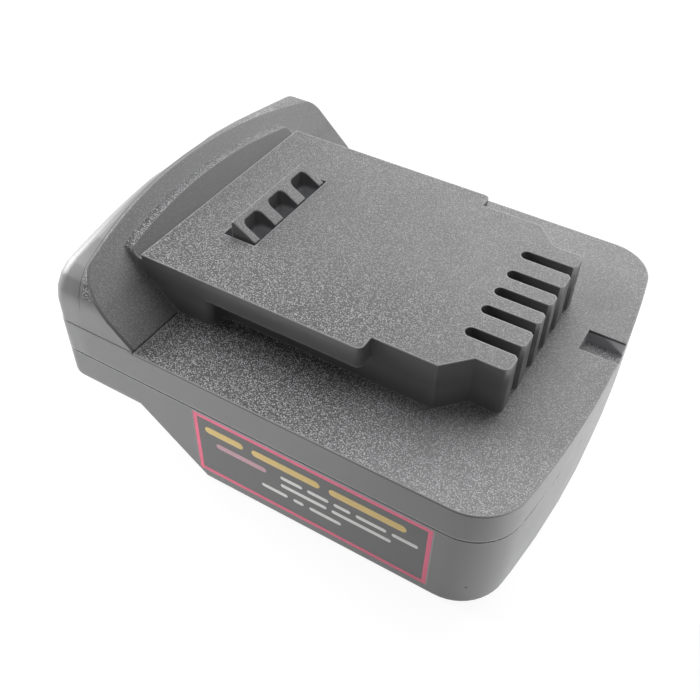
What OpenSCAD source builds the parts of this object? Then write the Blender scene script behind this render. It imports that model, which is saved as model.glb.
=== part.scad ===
// Tool battery adapter: a two-part plastic case with a tool rail on top, a pack receiver below,
// a sprung latch with its release button, and the wiring between the two sets of contacts.
// Millimetres. Origin at the middle of the base, +X to the contact end, +Z up.

/* [Body] */
// Overall length, contact end to button end
body_length = 94; // [90:1:110]
// Overall width
body_width = 77; // [74:1:90]
// Height of the lower shell, base to seam
base_height = 19.5; // [19:0.5:26]
// Height of the skirt, seam to deck
skirt_height = 7; // [6.5:0.5:12]
// Wall thickness of both shells
wall = 2.2; // [1.8:0.1:2.5]
// Bow radius of the contact end in plan
front_bow = 200; // [150:10:400]
// Bow radius of the button end in plan
rear_bow = 500; // [300:10:800]
// Lean of the contact end towards the base
front_lean = 0.5; // [0.1:0.1:1]
// Corner radius at the contact end
front_corner = 9.5; // [7:0.5:11]
// Corner radius at the button end
rear_corner = 3; // [3:0.5:6]
// Rounding along the bottom edge
base_edge = 1.2; // [0.8:0.1:3]
// Height of the shadow line at the seam
seam_height = 0.3; // [0.2:0.1:0.8]
// Depth of the shadow line at the seam
seam_depth = 0.3; // [0.2:0.1:0.6]
// Height of the tongue that locates the two shells
tongue_height = 1.5; // [1:0.1:2]

/* [Tool rail] */
// Height of the rail above the deck
rail_height = 10.4; // [9.5:0.1:13]
// Width over the two flanges
rail_width = 51; // [49:0.5:58]
// Width of the neck between the two grooves
neck_width = 44; // [42:0.5:46]
// Width of the contact nose
nose_width = 34.6; // [33:0.2:38]
// Thickness of the flanges
flange_thickness = 4.5; // [3:0.1:5.5]
// Deck in front of the nose
nose_setback = 13; // [10:0.5:16]
// Nose front to the front end of the flanges
flange_setback = 22.5; // [18:0.5:26]
// Rear face to the rear edge of the rail
rail_setback = 12.5; // [12:0.1:14]
// Rail rear edge to the rear end of the grooves
shoulder_length = 14.9; // [12:0.1:20]
// Nose front to the wide end of the taper
taper_start = 10.3; // [8:0.1:12]
// Nose front to the narrow end of the taper
taper_end = 5.9; // [4:0.1:7]
// Corner radius of the flanges
flange_corner = 1.2; // [0.5:0.1:2]
// Corner radius of the nose
nose_corner = 1.4; // [0.5:0.1:2.5]

/* [Contact slots] */
// Width of a slot
slot_width = 2.4; // [1.8:0.1:2.8]
// Length of a slot
slot_length = 10.2; // [8:0.1:12]
// Chamfer at the mouth of a slot
slot_chamfer = 0.6; // [0.2:0.1:0.8]
// Inner pair of slots, from the middle
slot_inner = 5.5; // [5.3:0.1:6]
// Outer pair of slots, from the middle
slot_outer = 12; // [11:0.1:12.3]
// Length of the chamber behind a slot
chamber_length = 11; // [9:0.5:13]
// Width of the chamber behind a slot
chamber_width = 4.2; // [3.8:0.1:4.4]

/* [Rear wall] */
// Height of the crest above the deck, at the middle
crest_height = 14.8; // [14:0.1:19]
// Thickness of the wall at the crest
crest_thickness = 3.8; // [3.4:0.1:6]
// Arch radius of the crest's right half
crest_arch = 157; // [130:1:300]
// Arch radius of the crest's left half
crest_arch_left = 170; // [130:1:300]
// Rounding along the outer edge of the crest
crest_edge = 4; // [3:0.1:4.5]
// Rounding at the right end of the crest
crest_round = 7.5; // [4:0.1:9]
// Rounding at the left end of the crest
crest_round_left = 2.6; // [2.4:0.1:9]
// Step of the mould line between the skirt and the rear wall
mould_step = 0.12; // [0.05:0.01:0.3]
// Slope of the wall, from level
slope_angle = 43; // [41:0.5:50]
// Width of the crease at the foot of the slope
crease_width = 0.3; // [0.2:0.05:0.5]
// Depth of that crease below the deck
crease_depth = 0.25; // [0.1:0.05:0.4]
// Step between the ledge's face and the slope
ledge_step = 2; // [1:0.1:3]
// Height of the ledge above the rail, at the middle
ledge_rise = 2.2; // [1.5:0.1:3.5]
// Arch radius of the ledge
ledge_arch = 170; // [140:2:400]
// Depth of the valley between the rail and the ledge
valley_depth = 1; // [0.5:0.1:1.2]

/* [Latch] */
// Rail rear edge to the latch opening
latch_setback = 8.8; // [7.5:0.1:12]
// Length of the latch opening
latch_length = 7; // [6:0.1:9]
// Width of the latch opening
latch_width = 24.9; // [22:0.1:28]
// Height of the wedge above the rail
wedge_height = 3.2; // [2:0.1:4]
// Gap between the wedge and the rear edge of its opening
wedge_rear_gap = 1.4; // [0.6:0.1:2]
// Slope of the wedge, from level
wedge_angle = 30.5; // [24:0.5:36]
// Width of one window in the wedge
window_width = 4.95; // [4:0.05:5.5]
// Spacing of the windows
window_pitch = 7.75; // [7:0.05:8]
// Length of a window from the front edge of the wedge
window_length = 4; // [3:0.1:4.4]
// Travel beyond flush when the button is pressed
overtravel = 0.4; // [0.2:0.1:1]
// Thickness of the latch plate and its arm
plate_thickness = 3; // [2:0.1:3.4]
// Width of the arm to the button
arm_width = 12; // [8:0.5:15]
// Sliding clearance of the moving pieces
clearance = 0.3; // [0.2:0.05:0.5]

/* [Release button] */
// Width of the button
button_width = 19.6; // [17:0.1:24]
// Top of the button below the crest
thumb_drop = 3.5; // [3:0.1:6]
// Rear face to the front of the button's channel
channel_depth = 3.8; // [3.6:0.1:4.2]
// Rear face to the front of the thumb recess in the crest
recess_depth = 2.6; // [2:0.1:3]
// Width of the thumb recess at the rear face
recess_width = 22; // [20:0.5:26]
// Rounding at the ends of the thumb recess
recess_round = 8; // [5:0.5:9]
// Number of grip ribs
grip_ribs = 4; // [2:1:6]
// Height of a grip rib
rib_height = 0.5; // [0.3:0.1:0.7]

/* [Springs] */
// Free height of a spring as fitted
spring_length = 11.5; // [10:0.1:14]
// Outside diameter of a spring
spring_diameter = 5.6; // [5:0.1:6.4]
// Wire diameter of a spring
spring_wire = 0.7; // [0.5:0.05:0.9]
// Turns of a spring
spring_turns = 6; // [4:1:7]
// Springs either side of the middle
spring_offset = 9.5; // [8:0.1:10]

/* [Pack receiver] */
// Height of the receiver's roof above the base
shelf_height = 12.8; // [12:0.1:14]
// Sides of the shelf below that roof
shelf_drop = 1.8; // [1:0.1:2.2]
// Rear face to the front edge of the shelf
shelf_length = 17.2; // [16:0.1:24]
// Length of the sloped ends of the two legs
leg_slope = 15.1; // [12:0.1:20]
// Rounding along the sloped ends of the legs
leg_edge = 0.9; // [0.4:0.1:1.2]
// Width inside the receiver, above its lips
receiver_width = 57; // [54:0.5:60]
// Width between the lips
lip_opening = 49; // [46:0.5:52]
// Rounding along the underside of the shelf
shelf_edge = 2.5; // [1.5:0.5:3]
// Thickness of the lips
lip_thickness = 4.5; // [3:0.1:5.5]
// Contact end to the stop at the end of the receiver
stop_setback = 17; // [16:0.5:20]
// Length of the pocket that takes the pack's own latch
pocket_length = 8; // [6:0.5:9]
// Width of that pocket
pocket_width = 22; // [18:0.5:26]
// Depth of that pocket
pocket_depth = 4; // [3:0.1:4.2]
// Front edge of the shelf to the pocket
pocket_setback = 2.2; // [2:0.1:4]

/* [Terminals] */
// Length of the terminal block
block_length = 11; // [9:0.5:13]
// Height of the terminal block below the roof
block_height = 9.6; // [9:0.1:11]
// Power blades either side of the middle
blade_offset = 13; // [11:0.5:14]
// Thickness of a power blade
blade_thickness = 1; // [0.6:0.1:1.4]
// Height of a blade
blade_height = 5.5; // [4:0.1:6]
// Length of a blade in front of its block
blade_reach = 10; // [8:0.5:12]
// Thickness of the signal blade
signal_thickness = 0.8; // [0.6:0.1:1.2]
// Diameter of the power leads
power_lead = 2.2; // [1.8:0.1:2.6]
// Diameter of the signal lead
signal_lead_diameter = 1.2; // [1:0.1:1.6]

/* [Contact board] */
// Thickness of the board
board_thickness = 1.6; // [1:0.1:1.8]
// Pads that hold the board off the deck
board_standoff = 1; // [0.5:0.1:1.2]
// Board behind the contact chambers
board_tail = 8; // [7:0.5:12]
// Strip thickness of the tool contacts
strip_thickness = 0.5; // [0.3:0.05:0.6]

/* [Screws] */
// Shank diameter of the case screws
case_screw = 3; // [2.5:0.1:3.5]
// Shank length of the case screws
case_screw_length = 13; // [11:0.5:14]
// Shank diameter of the small screws
small_screw = 2.2; // [1.6:0.1:2.5]
// Shank length of the small screws
small_screw_length = 6; // [5:0.5:7]
// Side wall to the axis of a case screw
screw_inset = 9.5; // [9:0.1:11]
// End face to the axis of a case screw
screw_end_inset = 8.7; // [8.5:0.1:10]

/* [Rating label] */
// Length of the label
label_length = 48.3; // [30:0.1:49]
// Height of the label
label_height = 16.3; // [13:0.1:16.5]
// Contact end to the front edge of the label
label_setback = 13.8; // [11:0.1:16]
// Seam to the top edge of the label
label_drop = 0.8; // [0.7:0.1:2]
// Thickness of the label
label_thickness = 0.2; // [0.1:0.05:0.3]

/* [Front notch] */
// Width of the guide notch in the deck's front edge
notch_width = 5.8; // [4:0.1:8]
// Length of the notch
notch_length = 7.35; // [5:0.1:9]
// Depth of the notch
notch_depth = 3; // [2:0.1:3.5]
// Middle of the notch from the middle of the case
notch_offset = 7.95; // [5:0.1:12]

/* [Hidden] */
$fn = 64;
bow_fn = 360;
// Overlap that keeps cuts from ending on a face
over = 1;
// Steps from the middle of the crest to its end, and the angles of the balls round that end
crest_steps = 6;
crest_turn = [22.5, 45, 67.5, 90];
// Steps from the middle of a bowed end to its corner, and how far they reach
bow_steps = 3;
bow_reach = 0.7 * body_width / 2;
// Radius of the flat under a bowed end's posts
bow_flat = 1;

half_l = body_length / 2;
half_w = body_width / 2;
z_seam = base_height;
z_deck = z_seam + skirt_height;
z_rail = z_deck + rail_height;
z_crest = z_deck + crest_height;
z_ceiling = z_rail - wall;
z_under_deck = z_deck - wall;
z_groove = z_rail - flange_thickness;

// Places along the rail, from the contact end back
x_nose = half_l - nose_setback;
x_flange = x_nose - flange_setback;
x_slot_end = x_nose - slot_length;
x_chamber_front = x_slot_end + slot_width / 2;
x_chamber_rear = x_chamber_front - chamber_length;
x_foot = -half_l + crest_thickness + crest_height / tan(slope_angle);
function slope_x(z) = x_foot - (z - z_deck) / tan(slope_angle);
x_rail_rear = -half_l + rail_setback;
x_groove = x_rail_rear + shoulder_length;
x_latch_rear = x_rail_rear + latch_setback;
x_latch_front = x_latch_rear + latch_length;
slot_places = [-slot_outer, -slot_inner, 0, slot_inner, slot_outer];

// Latch, arm and button
travel = wedge_height + overtravel;
z_plate_top = z_ceiling - clearance;
z_plate_low = z_plate_top - plate_thickness;
x_wedge_rear = x_latch_rear + wedge_rear_gap;
x_wedge_front = x_latch_front - clearance;
wedge_width = latch_width - 4 * clearance;
plate_margin = 2.4;
x_plate_rear = x_latch_rear - plate_margin;
x_plate_front = x_latch_front + plate_margin;
plate_width = latch_width + 2 * plate_margin;
x_channel = -half_l + channel_depth;
channel_width = button_width + 2 * clearance;
z_button_top = z_crest - thumb_drop;
z_button_low = z_plate_low - travel - clearance;
z_channel = z_button_low - travel - 2 * clearance;
arm_socket = 1.5;
x_arm_end = x_channel - clearance - arm_socket;
x_spring = (x_latch_rear + x_latch_front) / 2;
z_spring_seat = z_plate_low - spring_length;
peg_diameter = spring_diameter - 2 * spring_wire - 2 * clearance;
peg_height = 2.6;
post_margin = 0.8;
post_diameter = spring_diameter + 2 * post_margin;

// Receiver and lower shell
x_stop = half_l - stop_setback;
x_shelf = -half_l + shelf_length;
x_leg = x_shelf + leg_slope;
// Height of the legs' upper ends above the shelf's underside, and the flat under a leg's posts
leg_lift = 1;
leg_flat = 0.2;
z_roof = shelf_height + wall;
leg_angle = atan2(shelf_height, leg_slope);
x_pocket_front = x_shelf - pocket_setback;

// Board and tool contacts
z_board_top = z_under_deck - board_standoff;
z_board_low = z_board_top - board_thickness;
x_board_rear = x_chamber_rear - board_tail;
board_front_margin = 1.5;
board_side_margin = 4.6;
board_screw_setback = 3;
x_board_front = x_chamber_front + board_front_margin;
board_width = 2 * (slot_outer + chamber_width / 2 + board_side_margin);
board_screw_y = (slot_outer + chamber_width / 2 + board_width / 2) / 2;
board_screw_x = x_chamber_rear + board_screw_setback;
pad_diameter = 4.2;
contact_height = z_ceiling - clearance - z_board_top;

// Terminal block and blades
x_block = x_stop - block_length;
z_block = shelf_height - block_height;
neck_margin = 3;
ear_width = 6;
neck_half = blade_offset + neck_margin;
block_half = neck_half + ear_width;
block_screw_y = neck_half + ear_width / 2;
neck_end = 2;
x_neck_rear = x_block + neck_end;
x_neck_front = x_stop - neck_end;
neck_rise = 1;
z_neck = z_roof + neck_rise;
tail_margin = 1.2;
x_tail_rear = x_neck_rear + tail_margin;
x_tail_front = x_neck_front - tail_margin;
blade_drop = 2.2;
z_blade_top = shelf_height - blade_drop;
z_blade_low = z_blade_top - blade_height;
tail_rise = 2.4;
z_tail = z_neck + tail_rise;
lead_pad_setback = 3;
lead_pad_x = x_board_rear + lead_pad_setback;
lead_straight = 0.5;

// Screws
case_head = 2 * case_screw;
case_head_height = 0.75 * case_screw;
head_gap = 0.2;
boss_wall = 1.5;
bore_diameter = case_head + 2 * head_gap;
boss_diameter = bore_diameter + 2 * boss_wall;
small_head = 1.8 * small_screw;
small_head_height = 0.65 * small_screw;
// Gap between a screw and the hole it is driven into
thread_gap = 0.05;
// Gap around a screw that only passes through
shank_gap = 0.2;
screw_floor = 2.4;
deck_skin = 1.6;
z_front_seat = z_deck - deck_skin - case_screw_length;
z_rear_seat = shelf_height + screw_floor;

// Room left past the end of a driven screw
screw_end_gap = 0.5;
z_rear_pocket = z_crest - fall(half_w, crest_arch) - crest_edge - wall;
// Gap around pieces that are pushed into each other and stay put
fit_gap = 0.05;
// Gap all round the tongue in its rabbet
tongue_gap = 0.1;
tongue_inset = wall / 2 + tongue_gap;
x_label_front = half_l - label_setback;
x_label_rear = x_label_front - label_length;
z_label_top = z_seam - label_drop;
z_label_low = z_label_top - label_height;
x_pocket_rear = x_pocket_front - pocket_length;
x_block_mid = (x_block + x_stop) / 2;
z_wedge_top = z_rail + wedge_height;

// Flat shapes

// A plate from x = 0 to a bowed end at x = reach, with two rounded corners
module bowed_plate(reach, bow, half, corner, inset = 0) {
  bow_x = reach - bow;
  corner_y = half - corner;
  corner_x = corner_centre(reach, bow, half, corner);
  far_x = reach + over;
  side = corner_y / (corner_x - bow_x);
  translate([0, -half + inset]) square([corner_x, 2 * (half - inset)]);
  for (s = [-1, 1]) translate([corner_x, s * corner_y]) circle(corner - inset);
  intersection() {
    translate([bow_x, 0]) circle(bow - inset, $fn = bow_fn);
    polygon([[0, bow_x * side], [far_x, (bow_x - far_x) * side],
             [far_x, (far_x - bow_x) * side], [0, -bow_x * side]]);
  }
}

// How far in front of x = 0 the centre of such a plate's corners lies
function corner_centre(reach, bow, half, corner) =
  reach - bow + sqrt(pow(bow - corner, 2) - pow(half - corner, 2));

// Plan outline of the case, drawn in by inset
module plan(inset = 0) {
  bowed_plate(half_l, front_bow, half_w, front_corner, inset);
  mirror([1, 0]) bowed_plate(half_l, rear_bow, half_w, rear_corner, inset);
}

// A rectangle between two corners, with its corners rounded
module rounded_rect(low, high, r) {
  translate([low.x + r, low.y]) square([high.x - low.x - 2 * r, high.y - low.y]);
  translate([low.x, low.y + r]) square([high.x - low.x, high.y - low.y - 2 * r]);
  for (x = [low.x + r, high.x - r], y = [low.y + r, high.y - r]) translate([x, y]) circle(r);
}

// Solids drawn from a side or from an end

// A flat shape in X and Z, thickened along Y about y = 0
module across(width) {
  translate([0, width / 2, 0]) rotate([90, 0, 0]) linear_extrude(width) children();
}

// A flat shape in Y and Z, thickened along X
module along(x0, x1) {
  translate([x0, 0, 0]) rotate([90, 0, 90]) linear_extrude(x1 - x0) children();
}

// A box between two corners
module block(low, high) {
  translate(low) cube(high - low);
}

// A box between two corners, mirrored about y = 0 into a pair
module block_pair(low, high) {
  for (s = [0, 1]) mirror([0, s, 0]) block(low, high);
}

// Copies at y and at -y
module both_sides() {
  children();
  mirror([0, 1, 0]) children();
}

// The arched region under a crest of the given height and radius
module arch(top, radius, half, corner, inset = 0) {
  rotate(90) bowed_plate(top, radius, half, corner, inset);
}

// A round tube along a list of points, closed at both ends; reference is never along the route
module tube(route, diameter, sides, reference) {
  last = len(route) - 1;
  heading = [for (i = [0 : last]) unit(route[min(i + 1, last)] - route[max(i - 1, 0)])];
  rings = [for (i = [0 : last]) ring(route[i], heading[i], diameter / 2, sides, reference)];
  points = [for (r = rings, p = r) p];
  skin = [for (i = [0 : last - 1], k = [0 : sides - 1], t = [0, 1])
    let (a = i * sides + k, b = i * sides + (k + 1) % sides)
    t == 0 ? [a, a + sides, b] : [b, a + sides, b + sides]];
  caps = [for (k = [1 : sides - 2], end = [0, last])
    let (a = end * sides)
    end == 0 ? [a, a + k, a + k + 1] : [a, a + k + 1, a + k]];
  polyhedron(points, concat(skin, caps));
}
function unit(v) = v / norm(v);
function ring(p, d, r, sides, reference) =
  let (side = unit(cross(d, reference)), up = cross(d, side))
  [for (k = [0 : sides - 1]) p + r * (cos(360 * k / sides) * side + sin(360 * k / sides) * up)];

// A headed screw pointing up, with the underside of its head at z = 0 and a cross recess
module screw(shank, length, head, head_height) {
  recess = 0.22 * head;
  difference() {
    union() {
      translate([0, 0, -head_height]) cylinder(d = head, h = head_height);
      cylinder(d = shank, h = length);
    }
    for (a = [0, 90]) rotate(a) translate([-head / 3, -recess / 2, -head_height - over])
      cube([2 * head / 3, recess, over + 0.6 * head_height]);
  }
}

// Places of the case screws: contact end first
screw_spots = [for (x = [half_l - screw_end_inset, -half_l + screw_end_inset],
                    y = [half_w - screw_inset, screw_inset - half_w]) [x, y]];
function seat(x) = x > 0 ? z_front_seat : z_rear_seat;

// Upper shell

// Plan of the rail below its flanges
module neck_plan() {
  polygon([[x_rail_rear, -neck_width / 2], [x_nose - taper_start, -neck_width / 2],
           [x_nose - taper_end, -nose_width / 2], [x_nose - nose_corner, -nose_width / 2],
           [x_nose - nose_corner, nose_width / 2], [x_nose - taper_end, nose_width / 2],
           [x_nose - taper_start, neck_width / 2], [x_rail_rear, neck_width / 2]]);
  rounded_rect([x_nose - taper_end, -nose_width / 2], [x_nose, nose_width / 2], nose_corner);
}

// Plan of the two flanges, or of the full-width shoulder behind the grooves
module flange_plan(x_end) {
  half = rail_width / 2;
  translate([x_rail_rear, -half]) square([x_end - flange_corner - x_rail_rear, rail_width]);
  rounded_rect([x_rail_rear + flange_corner, -half], [x_end, half], flange_corner);
}

// Side view of everything above the deck and in front of the slope
module in_front_of_slope() {
  top = z_crest + over;
  polygon([[x_foot, z_deck], [half_l, z_deck], [half_l, top], [slope_x(top), top]]);
}

// The rear wall's block: an arched crest with rounded edges over the plan outline
module rear_block() {
  hull() {
    translate([0, 0, z_deck - over]) linear_extrude(over + mould_step) intersection() {
      plan(mould_step);
      translate([-body_length, -body_width]) square([body_length + x_foot, 2 * body_width]);
    }
    crest_side(-1, crest_arch, crest_round);
    crest_side(1, crest_arch_left, crest_round_left);
  }
}

// Balls along half of the crest and round its end, for a hull
module crest_side(s, radius, turn) {
  y_end = half_w - mould_step - turn;
  y_last = min(y_end, half_w - mould_step - crest_edge);
  z_turn = z_crest - fall(y_end, radius) - turn;
  for (i = [0 : crest_steps]) {
    y = y_last * i / crest_steps;
    crest_ball(s * y, z_crest - crest_edge - fall(y, radius), crest_edge);
  }
  for (a = crest_turn) {
    r = min(turn, crest_edge + (rear_corner - crest_edge) * a / 90);
    crest_ball(s * (y_end + (turn - r) * sin(a)), z_turn + (turn - r) * cos(a), r);
  }
}

// A ball at the rear face, and another over the foot of the slope
module crest_ball(y, z, r) {
  translate([-half_l + mould_step + r + fall(y, rear_bow), y, z]) sphere(r, $fn = 32);
  translate([x_foot, y, z]) sphere(r, $fn = 16);
}
// How far an arc of the given radius has dropped at a distance from its middle
function fall(y, radius) = radius - sqrt(radius * radius - y * y);

// The rear wall, cut to its slope
module rear_form() {
  difference() {
    rear_block();
    across(body_width + 2 * over) in_front_of_slope();
  }
}

// The arched ledge in front of the slope, and the floor of the valley between it and the rail
module ledge() {
  top = z_rail + ledge_rise;
  z_valley = z_rail - valley_depth;
  x_valley = slope_x(z_valley) + ledge_step;
  x_joint = x_rail_rear + wall / 2;
  intersection() {
    across(rail_width) polygon([[x_joint, z_seam], [x_joint, z_valley], [x_valley, z_valley],
      [slope_x(top + over) + ledge_step, top + over], [-half_l + crest_thickness, top + over],
      [-half_l + crest_thickness, z_seam]]);
    along(-half_l, half_l) arch(top, ledge_arch, rail_width / 2, flange_corner);
  }
}

// Outside of the upper shell, with nothing cut from it
module upper_form() {
  translate([0, 0, z_seam]) linear_extrude(skirt_height) plan();
  translate([0, 0, z_seam]) linear_extrude(z_rail - z_seam) neck_plan();
  translate([0, 0, z_groove]) linear_extrude(flange_thickness) flange_plan(x_flange);
  translate([0, 0, z_seam]) linear_extrude(z_rail - z_seam) flange_plan(x_groove);
  rear_form();
  ledge();
}

// Hollows of the upper shell, open to the seam
module upper_hollows() {
  rear_face = -half_l + mould_step + fall(half_w - wall, rear_bow) + wall;
  slope_wall = wall / sin(slope_angle);
  translate([0, 0, z_seam - over]) linear_extrude(z_under_deck - z_seam + over) plan(wall);
  block([x_rail_rear + wall, wall - neck_width / 2, z_seam],
        [x_chamber_rear - wall, neck_width / 2 - wall, z_ceiling]);
  intersection() {
    across(body_width) polygon([[slope_x(z_seam) - slope_wall, z_seam],
                                [slope_x(z_rear_pocket) - slope_wall, z_rear_pocket],
                                [rear_face, z_rear_pocket], [rear_face, z_seam]]);
    block_pair([-half_l, channel_width / 2 + wall, z_seam],
               [0, half_w - mould_step - wall, z_crest]);
  }
}

// Bosses, pads and walls that stand inside the upper shell
module upper_inner_walls() {
  for (spot = screw_spots)
    translate([spot.x, spot.y, z_seam])
      cylinder(d = boss_diameter, h = (spot.x > 0 ? z_under_deck : z_rear_pocket) - z_seam + over);
  both_sides() translate([board_screw_x, board_screw_y, z_board_top])
    cylinder(d = pad_diameter, h = board_standoff + over);
  block([half_l - notch_length - wall, notch_offset - notch_width / 2 - wall,
         z_deck - notch_depth - wall],
        [half_l - wall / 2, notch_offset + notch_width / 2 + wall, z_deck - wall / 2]);
  block([-half_l + wall / 2, -channel_width / 2 - wall, z_channel - wall],
        [x_channel + wall, channel_width / 2 + wall, z_deck]);
}

// The slots that the tool's blades enter, and the chambers behind them
module contact_cuts() {
  mouth = slot_width / 2 + slot_chamfer + over;
  for (y = slot_places) translate([0, y, 0]) {
    translate([0, 0, z_deck]) linear_extrude(rail_height + over) {
      translate([x_chamber_front, -slot_width / 2]) square([slot_length, slot_width]);
      translate([x_chamber_front, 0]) circle(d = slot_width);
      polygon([[x_nose - slot_chamfer, -slot_width / 2], [x_nose + over, -mouth],
               [x_nose + over, mouth], [x_nose - slot_chamfer, slot_width / 2]]);
    }
    block([x_chamber_rear, -chamber_width / 2, z_seam], [x_chamber_front, chamber_width / 2, z_ceiling]);
  }
}

// The recess in the crest that lets a thumb onto the button
module thumb_recess() {
  skin = recess_round - recess_depth;
  end_y = recess_width / 2 - sqrt(recess_round * recess_round - skin * skin);
  translate([-half_l - skin, 0, z_button_top]) linear_extrude(z_crest + over - z_button_top) {
    translate([-recess_round, -end_y]) square([2 * recess_round, 2 * end_y]);
    for (s = [-1, 1]) translate([0, s * end_y]) circle(recess_round);
  }
}

// Openings for the latch, its arm and the release button
module latch_cuts() {
  block([x_latch_rear, -latch_width / 2, z_seam], [x_latch_front, latch_width / 2, z_rail + over]);
  block([-half_l - over, -channel_width / 2, z_channel],
        [x_channel, channel_width / 2, z_button_top + clearance]);
  thumb_recess();
  block([x_channel - over, -arm_width / 2 - clearance, z_plate_low - travel - clearance],
        [x_rail_rear + wall + over, arm_width / 2 + clearance, z_ceiling]);
}

module upper_shell() {
  color("dimgray") difference() {
    union() {
      difference() {
        upper_form();
        upper_hollows();
      }
      upper_inner_walls();
    }
    contact_cuts();
    latch_cuts();
    block_pair([x_foot - crease_width / 2, rail_width / 2 + crease_width, z_deck - crease_depth],
               [x_foot + crease_width / 2, half_w + over, z_deck + crease_width]);
    block([half_l - notch_length, notch_offset - notch_width / 2, z_deck - notch_depth],
          [half_l + over, notch_offset + notch_width / 2, z_deck + over]);
    translate([0, 0, z_seam - over]) linear_extrude(over + tongue_height + 2 * tongue_gap) difference() {
      plan(tongue_inset - tongue_gap);
      plan(wall + tongue_gap);
    }
    for (spot = screw_spots)
      translate([spot.x, spot.y, z_seam - over])
        cylinder(d = case_screw + 2 * thread_gap,
                 h = seat(spot.x) + case_screw_length + screw_end_gap - z_seam + over);
    both_sides() translate([board_screw_x, board_screw_y, z_board_low])
      cylinder(d = small_screw + 2 * thread_gap, h = small_screw_length + screw_end_gap);
  }
}

// Lower shell

// An upright post from z = low to the shadow line, with its lower edge rounded
module edged_post(radius, low, edge) {
  translate([0, 0, low + edge]) {
    rotate_extrude($fn = 48) intersection() {
      translate([radius - edge, 0]) circle(edge, $fn = 24);
      translate([0, -edge]) square([radius, 2 * edge]);
    }
    cylinder(r = radius, h = z_seam - seam_height - low - edge, $fn = 48);
  }
}

// Posts along one end of the plan outline
module edged_end(bow, corner, low, edge) {
  bow_post = edge + bow_flat;
  both_sides() translate([corner_centre(half_l, bow, half_w, corner), half_w - corner, 0])
    edged_post(corner, low, edge);
  for (i = [-bow_steps : bow_steps]) {
    y = bow_reach * i / bow_steps;
    translate([half_l - bow_post - fall(y, bow), y, 0]) edged_post(bow_post, low, edge);
  }
}

// A slab of the plan outline from z = low to the shadow line, with its lower edge rounded
module edged_slab(low, edge) {
  hull() {
    edged_end(front_bow, front_corner, low, edge);
    mirror([1, 0, 0]) edged_end(rear_bow, rear_corner, low, edge);
  }
}

// Outside of the lower shell: a shelf at the rear, and a deeper front with sloped legs
module lower_form() {
  post = leg_edge + leg_flat;
  x_top = x_shelf - leg_lift * leg_slope / shelf_height;
  edged_slab(shelf_height - shelf_drop, shelf_edge);
  hull() {
    translate([-front_lean, 0, 0]) edged_end(front_bow, front_corner, 0, base_edge);
    edged_end(front_bow, front_corner, shelf_height - shelf_drop - shelf_edge, leg_edge);
    both_sides() translate([x_leg + post, half_w - post, 0]) edged_post(post, 0, leg_edge);
    both_sides() translate([x_top + post, half_w - post, 0])
      edged_post(post, shelf_height + leg_lift, leg_edge);
  }
  translate([0, 0, z_seam - seam_height - over]) linear_extrude(seam_height + over) plan(seam_depth);
}

// Space inside the lower shell, around the walls of the receiver and of the latch pocket
module lower_hollow() {
  lean = wall * tan(leg_angle / 2);
  top = z_seam + over;
  difference() {
    intersection() {
      linear_extrude(top) plan(wall);
      across(body_width) polygon([[half_l, wall], [x_leg + lean, wall], [x_shelf + lean, z_roof],
                                  [-half_l, z_roof], [-half_l, top], [half_l, top]]);
    }
    block([-half_l, -receiver_width / 2 - wall, 0], [x_stop + wall, receiver_width / 2 + wall, z_roof]);
    block([x_pocket_rear - wall, -pocket_width / 2 - wall, 0],
          [x_pocket_front + wall, pocket_width / 2 + wall, shelf_height + pocket_depth + wall]);
  }
}

// Bosses, spring posts and the tongue that stand inside the lower shell
module lower_inner_walls() {
  for (spot = screw_spots) {
    foot = (spot.x > 0 ? 0 : shelf_height) + wall / 2;
    translate([spot.x, spot.y, foot]) cylinder(d = boss_diameter, h = z_seam - foot);
  }
  both_sides() translate([x_spring, spring_offset, z_roof - wall / 2]) {
    cylinder(d = post_diameter, h = z_spring_seat - z_roof + wall / 2);
    cylinder(d = peg_diameter, h = z_spring_seat - z_roof + wall / 2 + peg_height);
  }
  translate([0, 0, z_seam - over]) linear_extrude(over + tongue_height) difference() {
    plan(tongue_inset);
    plan(wall + tongue_gap / 2);
  }
}

module lower_shell() {
  color("dimgray") difference() {
    union() {
      difference() {
        lower_form();
        lower_hollow();
      }
      lower_inner_walls();
    }
    block([-half_l - over, -lip_opening / 2, -over], [x_stop, lip_opening / 2, shelf_height]);
    block([-half_l - over, -receiver_width / 2, lip_thickness], [x_stop, receiver_width / 2, shelf_height]);
    block([x_pocket_rear, -pocket_width / 2, shelf_height - over],
          [x_pocket_front, pocket_width / 2, shelf_height + pocket_depth]);
    block([x_neck_rear, -neck_half, shelf_height - over], [x_neck_front, neck_half, z_roof + over]);
    both_sides() translate([x_block_mid, block_screw_y, shelf_height - over])
      cylinder(d = small_screw + 2 * shank_gap, h = wall + 2 * over);
    for (spot = screw_spots) translate([spot.x, spot.y, -over]) {
      cylinder(d = bore_diameter, h = seat(spot.x) + over);
      cylinder(d = case_screw + 2 * shank_gap, h = z_seam + 2 * over);
    }
    block([x_label_rear, -half_w - over, z_label_low],
          [x_label_front, -half_w + label_thickness + fit_gap, z_label_top]);
  }
}

// Latch and release button

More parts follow.
